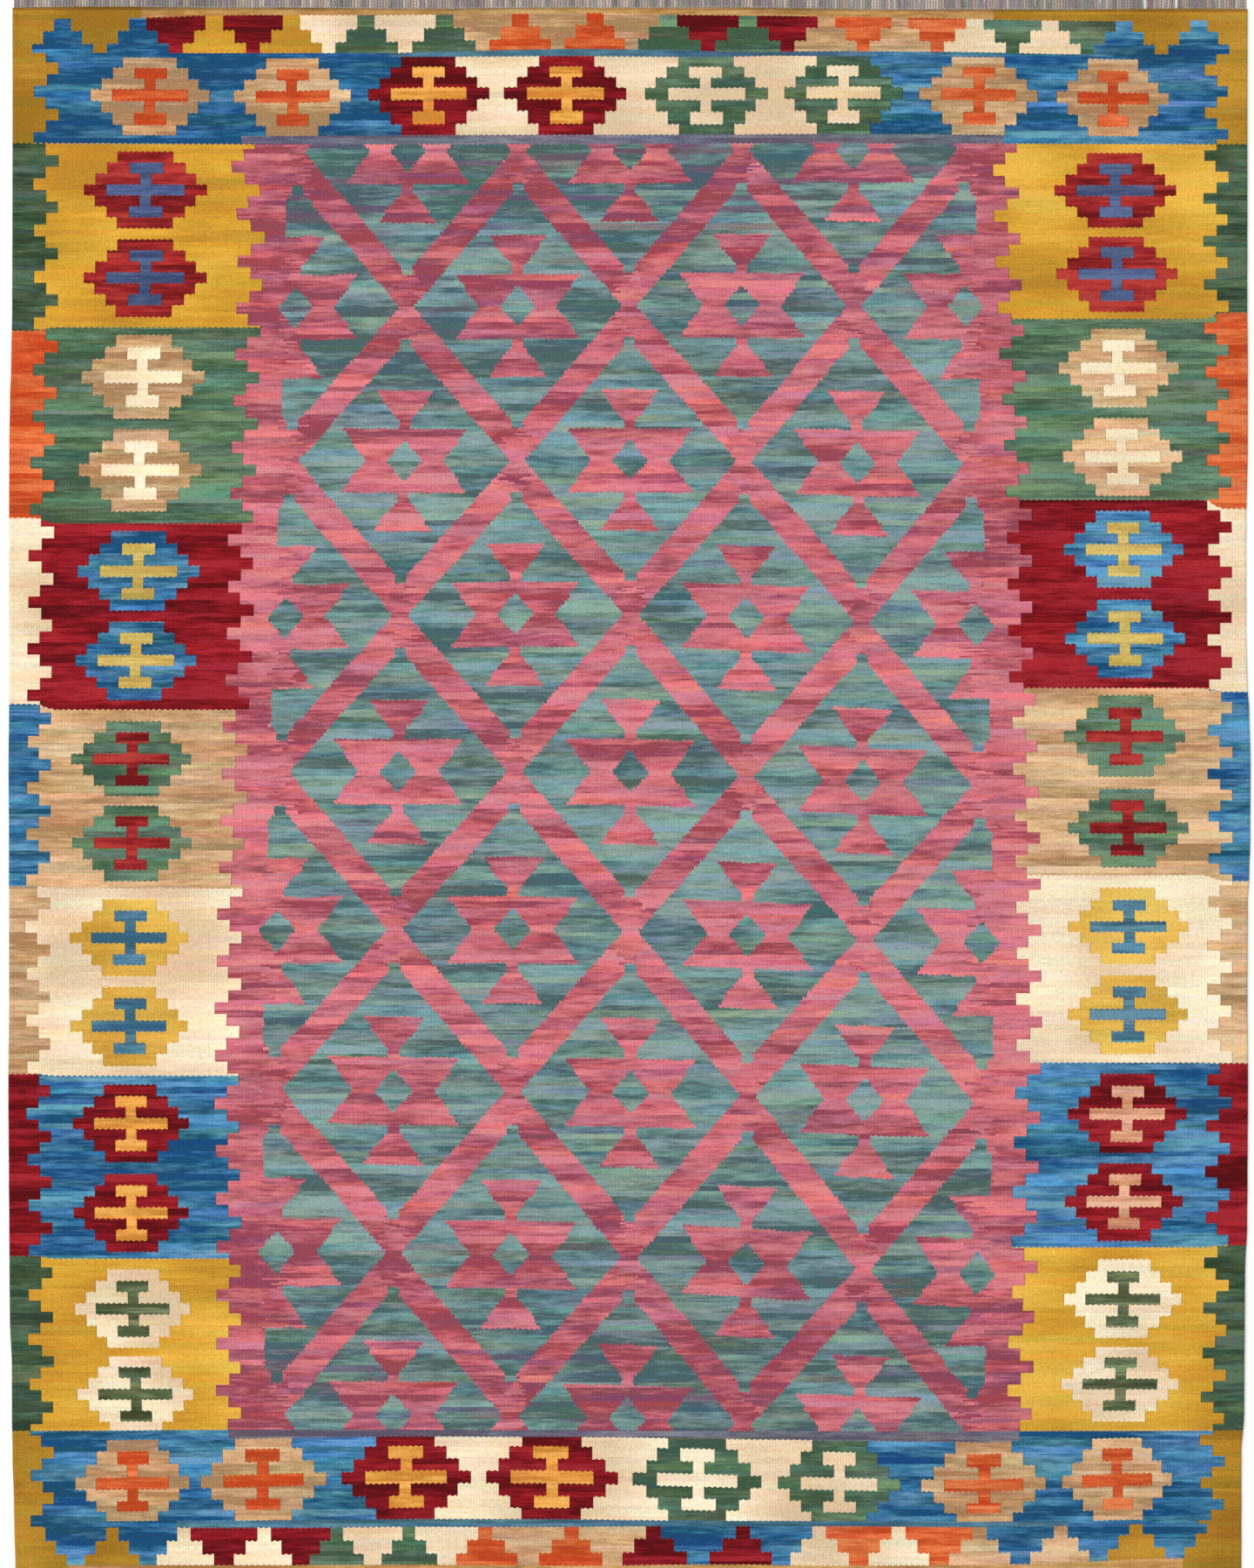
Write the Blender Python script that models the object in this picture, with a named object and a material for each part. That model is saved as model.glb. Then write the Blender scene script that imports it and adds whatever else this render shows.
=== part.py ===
"""A kilim rug, laid out flat: the woven cloth and the fringe of warp ends at each end of it.

Metres, +Z up. The origin is on the surface that the rug lies on, under its middle. The warps run along Y,
and the cloth's two selvedges, its long edges, lie near X = -0.75 and X = +0.75.
"""

import math
from collections import namedtuple

import bpy

# Driving sizes
CLOTH_LENGTH = 1.887
CLOTH_THICKNESS = 0.003
FRINGE_LENGTH = 0.052
FRINGE_THICKNESS = 0.0025
GAP = 0.0003

# Half the cloth's width on each side of the middle line, at places up from its near end. Hand weaving
# draws in and lets out a little as it goes, so the selvedges wander by a few millimetres.
Selvedge = namedtuple("Selvedge", "up left right")
SELVEDGES = (
    Selvedge(up=0.000, left=0.7449, right=0.7428),
    Selvedge(up=0.110, left=0.7470, right=0.7434),
    Selvedge(up=0.370, left=0.7486, right=0.7470),
    Selvedge(up=0.500, left=0.7518, right=0.7502),
    Selvedge(up=0.610, left=0.7518, right=0.7513),
    Selvedge(up=0.740, left=0.7486, right=0.7508),
    Selvedge(up=0.860, left=0.7513, right=0.7518),
    Selvedge(up=0.980, left=0.7518, right=0.7518),
    Selvedge(up=1.100, left=0.7486, right=0.7492),
    Selvedge(up=1.220, left=0.7486, right=0.7486),
    Selvedge(up=1.320, left=0.7502, right=0.7513),
    Selvedge(up=1.430, left=0.7486, right=0.7513),
    Selvedge(up=1.590, left=0.7476, right=0.7481),
    Selvedge(up=1.740, left=0.7455, right=0.7481),
    Selvedge(up=CLOTH_LENGTH, left=0.7465, right=0.7492),
)
STEPS_UP = 64
STEPS_ACROSS = 60

# The ends of the cloth aren't quite straight: two slow waves, one half as high as the other.
END_WAVE = 0.0009
END_WAVE_LENGTHS = (0.64, 0.27)

# The fringe is a comb. Next to the cloth the warp ends stand side by side, and then they part into locks.
FRINGE_ROOT = 0.012
LOCK_PITCH = 0.020
LOCK_WIDTH = 0.015
LOCK_TIP = 0.009
LOCK_UNEVEN = 0.16
LOCK_LEAN = 0.0015

# Colours (linear RGB) and roughness, as the yarns look from a few metres away
ROSE = (0.49, 0.10, 0.14, 1.0)
GREY_BEIGE = (0.39, 0.31, 0.24, 1.0)
WOOL_ROUGHNESS = 0.92
COTTON_ROUGHNESS = 0.88


def clear_scene():
    for leftover in list(bpy.data.objects):
        bpy.data.objects.remove(leftover, do_unlink=True)


def yarn_material(name, colour, roughness):
    material = bpy.data.materials.new(name)
    material.use_nodes = True
    material.diffuse_color = colour
    shader = material.node_tree.nodes["Principled BSDF"]
    shader.inputs["Base Color"].default_value = colour
    shader.inputs["Roughness"].default_value = roughness
    shader.inputs["Metallic"].default_value = 0.0
    return material


def eased(share):
    """0 to 1 with a level start and end, so that an edge has no corner at a table's row."""
    return share * share * (3 - 2 * share)


def half_width(side, up):
    """The selvedge's distance from the middle line on the side named left or right."""
    for low, high in zip(SELVEDGES, SELVEDGES[1:]):
        if up <= high.up:
            share = eased((up - low.up) / (high.up - low.up))
            return getattr(low, side) * (1 - share) + getattr(high, side) * share
    return getattr(SELVEDGES[-1], side)


def end_wave(x, end):
    """How far an end of the cloth strays from its straight line, at x. The far end is +1, the near end -1."""
    long_wave, short_wave = END_WAVE_LENGTHS
    return END_WAVE * (
        math.sin(math.tau * x / long_wave + end) + 0.5 * math.sin(math.tau * x / short_wave - 2 * end)
    )


def end_line(x, end):
    return end * CLOTH_LENGTH / 2 + end_wave(x, end)


def end_corners(end):
    up = CLOTH_LENGTH if end > 0 else 0.0
    return -half_width("left", up), half_width("right", up)


def cloth_outline():
    """Up the left selvedge, across the far end, down the right selvedge and back along the near end."""
    points = []
    ups = [CLOTH_LENGTH * step / STEPS_UP for step in range(1, STEPS_UP)]
    near_left, near_right = end_corners(-1)
    far_left, far_right = end_corners(+1)
    across = [step / STEPS_ACROSS for step in range(STEPS_ACROSS + 1)]
    points += [(-half_width("left", up), up - CLOTH_LENGTH / 2) for up in ups]
    for share in across:
        x = far_left + (far_right - far_left) * share
        points.append((x, end_line(x, +1)))
    points += [(half_width("right", up), up - CLOTH_LENGTH / 2) for up in reversed(ups)]
    for share in across:
        x = near_right + (near_left - near_right) * share
        points.append((x, end_line(x, -1)))
    return points


def lock_reach(lock, end):
    """How far the lock's tip stands from the cloth: the full length less a share that comes and goes."""
    short = 0.5 + 0.5 * math.sin(2.4 * lock + end) * math.cos(0.37 * lock)
    return FRINGE_LENGTH * (1 - LOCK_UNEVEN * short)


def fringe_outline(end):
    """A strip along the end of the cloth, with one tapered lock after another on its outer side."""
    left, right = end_corners(end)
    count = round((right - left) / LOCK_PITCH)
    pitch = (right - left) / count
    points = []
    for step in range(STEPS_ACROSS + 1):
        x = right + (left - right) * step / STEPS_ACROSS
        points.append((x, end_line(x, end) + end * GAP))
    for lock in range(count):
        middle = left + pitch * (lock + 0.5)
        lean = LOCK_LEAN * math.sin(1.7 * lock + 2 * end)
        root = end_line(middle, end) + end * (GAP + FRINGE_ROOT)
        tip = end_line(middle, end) + end * lock_reach(lock, end)
        points.append((max(left, middle - LOCK_WIDTH / 2), root))
        points.append((middle + lean - LOCK_TIP / 2, tip))
        points.append((middle + lean + LOCK_TIP / 2, tip))
        points.append((min(right, middle + LOCK_WIDTH / 2), root))
    return points


def flat_piece(name, outline, thickness, material, collection):
    """A flat outline with a thickness, lying on the surface."""
    curve = bpy.data.curves.new(name, "CURVE")
    curve.dimensions = "2D"
    curve.fill_mode = "BOTH"
    curve.extrude = thickness / 2
    spline = curve.splines.new("POLY")
    spline.points.add(len(outline) - 1)
    for point, (x, y) in zip(spline.points, outline):
        point.co = (x, y, 0.0, 1.0)
    spline.use_cyclic_u = True
    curve.materials.append(material)
    piece = bpy.data.objects.new(name, curve)
    piece.location = (0.0, 0.0, thickness / 2)
    collection.objects.link(piece)
    return piece


def main():
    clear_scene()
    collection = bpy.data.collections.new("kilim_rug")
    bpy.context.scene.collection.children.link(collection)
    wool = yarn_material("kilim_wool", ROSE, WOOL_ROUGHNESS)
    cotton = yarn_material("warp_cotton", GREY_BEIGE, COTTON_ROUGHNESS)
    flat_piece("rug_cloth", cloth_outline(), CLOTH_THICKNESS, wool, collection)
    flat_piece("fringe_top", fringe_outline(+1), FRINGE_THICKNESS, cotton, collection)
    flat_piece("fringe_bottom", fringe_outline(-1), FRINGE_THICKNESS, cotton, collection)


main()
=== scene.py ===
import bpy
import numpy as np
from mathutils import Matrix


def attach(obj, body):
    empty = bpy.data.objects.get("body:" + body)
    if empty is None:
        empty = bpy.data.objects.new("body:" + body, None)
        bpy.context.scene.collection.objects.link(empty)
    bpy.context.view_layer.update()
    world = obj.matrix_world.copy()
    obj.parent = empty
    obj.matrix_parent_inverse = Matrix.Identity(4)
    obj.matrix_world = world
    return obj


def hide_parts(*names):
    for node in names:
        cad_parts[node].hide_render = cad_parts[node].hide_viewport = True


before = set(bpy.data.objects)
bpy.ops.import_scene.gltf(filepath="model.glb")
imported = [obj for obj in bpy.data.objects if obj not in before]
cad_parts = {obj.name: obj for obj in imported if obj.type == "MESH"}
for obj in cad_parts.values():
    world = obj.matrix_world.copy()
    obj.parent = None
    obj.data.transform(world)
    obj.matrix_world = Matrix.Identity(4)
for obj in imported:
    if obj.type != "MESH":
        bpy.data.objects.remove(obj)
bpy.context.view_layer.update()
print("frame loaded:", ", ".join(sorted(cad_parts)))


# tables and small helpers

def curveThrough(places, values, at):
    # straight runs between the table's rows, with the end runs carried on outside it
    firstSlope = (values[1] - values[0]) / (places[1] - places[0])
    lastSlope = (values[-1] - values[-2]) / (places[-1] - places[-2])
    before = np.minimum(at - places[0], 0) * firstSlope
    after = np.maximum(at - places[-1], 0) * lastSlope
    return np.interp(at, places, values) + before + after


def placeAmong(knots, values, at):
    # straight runs between each point's own knots, with the end runs carried on outside them
    below = np.clip((at >= knots).sum(axis=0) - 1, 0, len(values) - 2)
    points = np.arange(at.size)
    low = knots[below, points]
    high = knots[below + 1, points]
    values = np.asarray(values, float)
    return values[below] + (at - low) / (high - low) * (values[below + 1] - values[below])


def linear(screen):
    # screen colour 0 to 255 to the linear colour that a shader wants
    share = np.asarray(screen, float) / 255
    return np.where(share <= 0.04045, share / 12.92, ((share + 0.055) / 1.055) ** 2.4)


def gridQuads(index):
    # quads of a grid of vertex numbers, counter-clockwise when columns run right and rows run up
    quads = np.stack([index[:-1, :-1], index[:-1, 1:], index[1:, 1:], index[1:, :-1]], axis=-1)
    return quads.reshape(-1, 4)


def makeMesh(name, points, quads):
    # a smooth-shaded object of quads, unturned and with its origin at the frame's
    mesh = bpy.data.meshes.new(name)
    mesh.vertices.add(len(points))
    mesh.vertices.foreach_set("co", points.astype(np.float32).ravel())
    mesh.loops.add(quads.size)
    mesh.loops.foreach_set("vertex_index", quads.astype(np.int32).ravel())
    mesh.polygons.add(len(quads))
    mesh.polygons.foreach_set("loop_start", np.arange(0, quads.size, 4, dtype=np.int32))
    mesh.polygons.foreach_set("loop_total", np.full(len(quads), 4, np.int32))
    mesh.polygons.foreach_set("use_smooth", np.ones(len(quads), bool))
    mesh.update(calc_edges=True)
    mesh.validate()
    piece = bpy.data.objects.new(name, mesh)
    bpy.context.scene.collection.objects.link(piece)
    return piece


def storeVector(piece, name, values):
    # three values for each vertex, for the material to read
    layer = piece.data.attributes.new(name, "FLOAT_VECTOR", "POINT")
    layer.data.foreach_set("vector", values.astype(np.float32).ravel())


# the cloth's outline and lie

cloth = {
    "width": 1.5,
    "length": 1.887,
    "thickness": 0.0027,
    "columns": 172,
    "middleRows": 160,
    "endRows": 40,
    "endDepth": 0.172,  # the ends have finer rows, because their bands are narrow
    "edgeRound": 0.0016,
    "rimShares": (0, 0.25, 0.6, 1.0),  # where the rounded rim has rows
    "selvedgeWidth": 0.007,
    "selvedgeBulge": 0.0009,
    "selvedgeColumns": (0, 0.4, 1.0, 1.7, 2.8, 4.2, 5.6, 7.0, 8.6),  # millimetres from the edge
    "endWave": 0.0009,
    "endWaveLengths": (0.64, 0.27),
    "cockleHeight": 0.0016,
    "cockleSpread": 0.9,  # more of it lifts more of the cloth off the floor
    "rippleHeight": 0.00035,
    "rippleLength": 0.047,
    "rippleWander": (0.35, 0.33),  # in ripples, and the length of each swing
    "rippleBend": (3, 0.52),  # in radians, and the length of each swing
    "rippleFade": (0.21, 0.37),  # lengths across and along in which ripples come and go
    "riseAt": (-0.75, 0.0, 0.4, 0.75),  # the top end lies this much further out at these places across
    "rise": (0.0039, 0.0036, 0.0022, 0.0012),
}

cockles = (  # share, length across, length along and phase of each long wave in the cloth's lie
    (1.0, 0.47, 1.3, 0.6),
    (1.0, -1.9, 0.39, 2.1),
    (0.8, 0.29, -0.71, 4.0),
    (0.7, 0.8, 0.23, 0.0),
)

edges = {  # how far each side edge is from the middle line, going up from the near end
    "up": (0.000, 0.084, 0.140, 0.195, 0.250, 0.306, 0.362, 0.418, 0.473, 0.584, 0.695, 0.806, 0.840,
           0.880, 0.973, 1.040, 1.070, 1.139, 1.250, 1.361, 1.417, 1.450, 1.528, 1.639, 1.750, 1.850,
           1.887),
    "left": (0.7418, 0.7436, 0.7453, 0.7461, 0.7461, 0.7484, 0.7489, 0.7493, 0.7497, 0.7504, 0.7493,
             0.7493, 0.7497, 0.7497, 0.7502, 0.7496, 0.7494, 0.7497, 0.7497, 0.7493, 0.7484, 0.7470,
             0.7457, 0.7454, 0.7453, 0.7453, 0.7452),
    "right": (0.7402, 0.7402, 0.7401, 0.7437, 0.7438, 0.7442, 0.7446, 0.7473, 0.7478, 0.7483, 0.7475,
              0.7479, 0.7497, 0.7509, 0.7512, 0.7496, 0.7475, 0.7461, 0.7460, 0.7480, 0.7479, 0.7479,
              0.7473, 0.7475, 0.7473, 0.7475, 0.7476),
}


def halfWidth(up, side):
    # the edge's distance from the middle line, eased from one place of the table to the next
    ups = np.array(edges["up"])
    widths = np.array(edges[side])
    place = np.clip(np.searchsorted(ups, up, side="right") - 1, 0, len(ups) - 2)
    share = np.clip((up - ups[place]) / (ups[place + 1] - ups[place]), 0, 1)
    share = share * share * (3 - 2 * share)
    return widths[place] + (widths[place + 1] - widths[place]) * share


def endLine(x, end):
    # the cut end is half the length out, plus two long sine waves and, at the top end, its rise
    long, short = cloth["endWaveLengths"]
    wave = np.sin(2 * np.pi * x / long + end) + 0.5 * np.sin(2 * np.pi * x / short - 2 * end)
    rise = np.interp(x, cloth["riseAt"], cloth["rise"]) * (end > 0)
    return end * cloth["length"] / 2 + cloth["endWave"] * wave + rise


def lieOfCloth(x, y):
    # height of the underside: crossing sine waves, cut off where they go below the floor, and fine ripples
    # along the length that wander and come and go
    turn = 2 * np.pi
    wide = sum(
        share * np.sin(turn * (x / acrossLength + y / alongLength) + phase)
        for share, acrossLength, alongLength, phase in cockles
    )
    most = sum(wave[0] for wave in cockles) + cloth["cockleSpread"]
    raised = np.maximum(wide + cloth["cockleSpread"], 0) / most
    wanderBy, wanderLength = cloth["rippleWander"]
    bendBy, bendLength = cloth["rippleBend"]
    fadeAcross, fadeAlong = cloth["rippleFade"]
    wander = wanderBy * np.sin(turn * x / wanderLength)
    bend = bendBy * np.sin(turn * x / bendLength)
    fine = np.sin(turn * (y / cloth["rippleLength"] + wander) + bend)
    fine *= 0.5 + 0.5 * np.sin(turn * (x / fadeAcross + y / fadeAlong))
    return cloth["cockleHeight"] * raised + cloth["rippleHeight"] * (1 + fine)


def clothRows():
    # shares of the length: fine rows in both ends, wider ones between
    depth = cloth["endDepth"] / cloth["length"]
    edge = cloth["edgeRound"] / cloth["length"]
    rim = edge * np.array(cloth["rimShares"])
    low = np.concatenate([rim, np.linspace(edge, depth, cloth["endRows"])[1:]])
    middle = np.linspace(depth, 1 - depth, cloth["middleRows"])[1:-1]
    return np.concatenate([low, middle, 1 - low[::-1]])


def clothColumns():
    # shares of the width: close columns over each selvedge, even ones between
    near = np.array(cloth["selvedgeColumns"]) / (1000 * cloth["width"])
    middle = np.linspace(near[-1], 1 - near[-1], cloth["columns"] - 2 * len(near) + 2)[1:-1]
    return np.concatenate([near, middle, 1 - near[::-1]])


def makeCloth():
    # a flat sheet closed round its rim: over each (across, along) share the top and the underside stand
    # half the thickness off the middle, less what the rounded rim takes, and meet in one line at the rim
    across, along = np.meshgrid(clothColumns(), clothRows())
    up = along * cloth["length"]
    left = halfWidth(up, "left")
    right = halfWidth(up, "right")
    x = -left + across * (left + right)
    y = endLine(x, -1) + along * (endLine(x, 1) - endLine(x, -1))
    toSide = np.minimum(across, 1 - across) * (left + right)
    toEnd = np.minimum(along, 1 - along) * cloth["length"]
    inward = np.clip(np.minimum(toSide, toEnd) / cloth["edgeRound"], 0, 1)
    rounded = np.sqrt(1 - (1 - inward) ** 2)
    bulge = np.sin(np.pi * np.clip(toSide / cloth["selvedgeWidth"], 0, 1)) * cloth["selvedgeBulge"]
    lie = lieOfCloth(x, y)
    half = cloth["thickness"] / 2
    top = lie + half * (1 + rounded) + bulge
    under = lie + half * (1 - rounded)
    topIndex = np.arange(x.size).reshape(x.shape)
    rim = np.zeros(x.shape, bool)
    rim[0] = rim[-1] = True
    rim[:, 0] = rim[:, -1] = True
    underIndex = np.where(rim, topIndex, 0)
    underIndex[~rim] = x.size + np.arange((~rim).sum())
    points = np.concatenate([
        np.stack([x, y, top], axis=-1).reshape(-1, 3),
        np.stack([x[~rim], y[~rim], under[~rim]], axis=-1),
    ])
    points[:, 2] -= points[:, 2].min()
    quads = np.concatenate([
        gridQuads(topIndex),
        gridQuads(underIndex)[:, ::-1],
    ])
    return makeMesh("woven_cloth", points, quads)


# where the pattern lies on the cloth
# all places are in millimetres: down from the top end, and across from the middle line, right positive

lattice = {  # the field's chart repeats every 20 steps and 24 rows; each step is about four warps
    "rows": (-6, 0, 12, 24, 36, 48, 60, 72, 84, 96, 100),
    "across": (-400, -200, 0, 200, 400),
    "rowLines": (  # how far down each of these rows lies at the five places across
        (83, 81, 81, 80, 81),
        (171, 170, 169, 168, 169),
        (359, 358, 356, 356, 358),
        (544, 544, 543, 545, 549),
        (733, 729, 728, 735, 743),
        (920, 919, 919, 928, 936),
        (1111, 1109, 1112, 1119, 1126),
        (1304, 1306, 1306, 1313, 1320),
        (1500, 1502, 1506, 1517, 1527),
        (1698, 1697, 1701, 1712, 1717),
        (1761, 1760, 1765, 1774, 1779),
    ),
    "steps": (-30, -15, 0, 15, 30),
    "stepLines": (  # how far across each of these steps lies in each of the rows
        (-400, -400.5, -403, -408, -415.5, -420, -425.5, -429, -426, -426, -425),
        (-199.5, -200, -202, -203.5, -207.5, -208.5, -212, -212.5, -214.5, -214.5, -214),
        (1, 1, 0, 1, 2, 1.5, 2, 2, 0, -2, -2.5),
        (203, 203.5, 204.5, 207.5, 212, 212, 214, 214, 213, 208, 207),
        (404.5, 405, 407, 413, 419.5, 423.5, 426, 426, 421, 413.5, 411.5),
    ),
}

endBands = {  # row lines counted from each end: triangles 0 to 3, a line, hexagons 4 to 11, a line
    "rows": 12,
    "triangleRows": 3,
    "outerLine": 3.5,
    "innerLine": 11.5,
    "lines": (-1, 0, 1, 2, 3, 4, 5, 6, 7, 8, 9, 10, 11, 12, 20),
    "fromTop": (0, 6.4, 21.3, 36.8, 50.6, 54.8, 67.0, 79.6, 91.8, 106.4, 120.7, 136.5, 149.8, 160.7, 300),
    "fromBottom": (0, 9.0, 22.0, 38.3, 54.6, 63.5, 77.9, 92.6, 107.9, 123.2, 137.9, 152.6, 163.7, 170.8,
                   300),
    "topWander": (0.8, 170),  # the row lines wave by this much over this length
    "bottomWander": (1.0, 210),
    "topAcross": (-700, -450, -280, -60, 130, 400, 600, 700),
    "topDrop": (4.5, 2.0, 0.2, -4.0, 0.2, 1.6, 4.6, 3.6),  # how much lower the triangles lie there
    "topOuter": (0, -4.2, -2.7, -0.5, -0.7, 2.4, 2.4, 1.4),  # and how much lower again their outer line
    "bottomAcross": (-715, -400, -200, -50, 80, 230, 420, 530, 620, 715),
    "bottomDrop": (0.2, 1.5, 0, -1.0, -3.7, -2.6, -1.6, -3.5, -7.6, -8.5),
    "bottomOuter": (0, 0, 1, 3.2, 3.2, 3.1, 1.5, 1, 1, 1),
}

hexagonBand = {  # each hexagon is 11 cells wide, and 12 are counted from one to the next
    "cells": 11,
    "period": 12,
    "middleRow": 7.5,
    "sagRows": 4.2,
    "top": (-578.9, -407.2, -242.4, -76.0, 93.4, 258.8, 422.8, 585.4),
    "topHalf": (71.6, 70.0, 71.9, 73.2, 73.4, 70.8, 70.6, 67.1),
    "topSag": (3.4, 4.9, 0, 0, 2.4, 0.6, 2.7, 7.4),  # how much lower its middle row lies
    "bottom": (-600.1, -442.0, -269.8, -93.6, 83.3, 254.4, 429.2, 590.4),
    "bottomHalf": (68.9, 75.8, 77.6, 78.8, 76.7, 72.9, 75.0, 66.2),
    "bottomSag": (8.8, 5.7, 1.2, 0.4, 4.1, 8.3, 11.0, 3.2),
}

triangleRow = {  # tips of the standing triangles, and below them places counted in triangles from the left
    "top": (-684.5, -594, -501.3, -407.6, -318.3, -222.8, -131.4, -40.8,
            47.1, 143.7, 239, 327.1, 418.1, 509.2, 598.5, 688.7),
    "bottom": (-713, -624.2, -538.4, -440.4, -353.1, -266.4, -174.4, -69.1,
               28.9, 138.5, 229.5, 325.8, 423.7, 522.3, 612.6, 707.0),
    "middle": 7.5,
    "slatePart": (3.2, 5.6),  # the line beside them is slate up to this far from the middle, top and bottom
    "sandMiddle": (6.65, 7.5),  # the plain strip beyond them is sand round here
    "sandPart": (5.6, 7.1),
    # how many rows away their sides meet, and in how many rows a side moves by one triangle
    "sides": ((0.77, 6.75), (2.6, 6.9)),
}

sideBlock = {  # lines between the seven blocks of each side border, and of the guard outside it
    "rows": 15,  # in each block, roughly
    "guardFrom": 698,  # from here outwards the lines pass over to the guard's, over this width
    "guardOver": 16,
    "peachMiddle": 5.5,  # of the block whose crosses are peach at the right
    "left": (160.7, 382.8, 619.7, 844.9, 1060.7, 1287, 1508.1, 1716.5),
    "right": (160.7, 372.3, 591.2, 818.6, 1044.9, 1271.2, 1494.4, 1716.5),
    "leftGuard": (162, 387, 613, 838, 1058, 1285, 1505, 1720),
    "rightGuard": (155, 365, 602, 823, 1052, 1272, 1492, 1710),
}

sideHexagon = {  # where the two hexagons in each block lie, and half their height
    "rows": 7,
    "period": 8,
    "leftDown": (216.8, 323.0, 442.9, 555.2, 677.7, 785.2, 904.4, 1005.8, 1120.4, 1227.1, 1344.8, 1452.8,
                 1568.7, 1672),
    "leftAcross": (-584.1, -584.3, -588.1, -591.6, -593, -596.3, -601.2, -601.4, -603.6, -603.5, -601.6,
                   -601.2, -599.4, -596.2),
    "leftHalf": (46.5, 46.5, 50.6, 49.6, 47.2, 46.6, 45.2, 45.6, 46.2, 47.2, 46.4, 46.8, 47.4, 46.2),
    "rightDown": (217.5, 318.2, 432, 538.9, 651.1, 758.7, 877, 987.6, 1106.9, 1212.8, 1333.2, 1439.1,
                  1557.2, 1659.6),
    "rightAcross": (588, 590, 591.2, 596, 597.6, 599.4, 599.7, 602.8, 604.2, 603.8, 602.6, 598.6,
                    597.4, 593.8),
    "rightHalf": (45.4, 45.6, 47.4, 46.6, 45.6, 46.4, 48.6, 47.0, 45.4, 47.2, 47.4, 46.4, 47.4, 45.2),
    "cellDown": (214, 556, 900, 1227, 1452, 1671),  # how wide a cell is at these places down
    "leftCell": (13.5, 13.5, 13.15, 12.85, 12.6, 12.75),
    "rightCell": (13.35, 13.1, 13.25, 13.1, 12.9, 12.9),
}

toothRows = {  # rows for each tooth, and where the count starts on either side
    "rows": 4,
    "left": 1.5,
    "right": 3.5,
}

innerTeeth = {  # the stepped line between the field and each side border, and where its tips lie
    "down": (160, 215, 270, 390, 500, 620, 730, 845, 955, 1070, 1190, 1240, 1355, 1470, 1525, 1620, 1716),
    "left": (-468, -462, -455, -460.6, -464.2, -469, -469.4, -474, -477, -482.4, -484.4, -486, -486, -483,
             -484, -484, -484),
    "right": (453.2, 455, 457.6, 462, 467, 472.4, 472.6, 477, 480.4, 482, 483.4, 484, 480.6, 478.4, 478.6,
              473, 471.6),
    "step": 15.0,
    "leftTips": (0, 3, 8, 13, 18, 23, 26, 28),
    "leftTipsDown": (160, 331.7, 611.5, 893.8, 1176.5, 1464.5, 1640, 1749),
    "rightTips": (0, 2, 7, 12, 16, 20, 23, 26, 28),
    "rightTipsDown": (165, 275.9, 553, 832.9, 1055.6, 1277.8, 1457.5, 1639, 1752),
}

outerTeeth = {  # the stepped line between each side border and its guard, over the whole length
    "down": (0, 220, 410, 630, 840, 1060, 1280, 1480, 1640, 1740, 1887),
    "left": (-704.4, -704.4, -705.2, -710, -712.4, -715, -713.7, -711.5, -710.5, -709.5, -708),
    "right": (710.2, 709.3, 710, 714.4, 714.9, 714.4, 713.8, 711, 706.8, 704.4, 703.6),
    "step": 14.5,
    "leftTips": (0, 4, 9, 14, 18, 22, 25, 28, 31),
    "leftTipsDown": (69.8, 293.8, 574.3, 855.5, 1078.8, 1305.4, 1471.3, 1632.4, 1797.5),
    "rightTips": (0, 3, 8, 14, 17, 20, 25, 28, 31),
    "rightTipsDown": (149.5, 304.4, 569.6, 896.8, 1050, 1209, 1486, 1649, 1805),
}


def sideOf(x, leftValue, rightValue):
    return np.where(x < 0, leftValue, rightValue)


def spreadCounts(centres, half, cells, period):
    # knots that count cells evenly over each motif and squeeze or stretch the gap between two
    centres = np.asarray(centres, float)
    order = np.arange(len(centres)) * period
    places = np.stack([centres - half, centres + half], axis=1).ravel()
    counts = np.stack([order - cells / 2, order + cells / 2], axis=1).ravel()
    return places, counts


def fieldPlaces(across, down):
    # the row from the row lines at this place across, then the step from the step lines in that row
    rowKnots = np.array([curveThrough(lattice["across"], line, across) for line in lattice["rowLines"]])
    row = placeAmong(rowKnots, lattice["rows"], down)
    stepKnots = np.array([curveThrough(lattice["rows"], line, row) for line in lattice["stepLines"]])
    return placeAmong(stepKnots, lattice["steps"], across), row


def saggedRows(end, across, inwards, sign):
    # row lines counted inwards; the hexagons sag most in their middle row, and the triangles all together
    places = endBands["from" + end.capitalize()]
    straight = curveThrough(places, endBands["lines"], inwards)
    fromMiddle = (straight - hexagonBand["middleRow"]) / hexagonBand["sagRows"]
    inHexagons = np.clip(1 - fromMiddle ** 2, 0, 1)
    inTriangles = np.clip(4 - straight, 0, 1)
    atOuterLine = np.clip(1 - straight, 0, 1)
    moved = inHexagons * np.interp(across, hexagonBand[end], hexagonBand[end + "Sag"])
    moved += inTriangles * np.interp(across, endBands[end + "Across"], endBands[end + "Drop"])
    moved += atOuterLine * np.interp(across, endBands[end + "Across"], endBands[end + "Outer"])
    return curveThrough(places, endBands["lines"], inwards - sign * moved)


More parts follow.
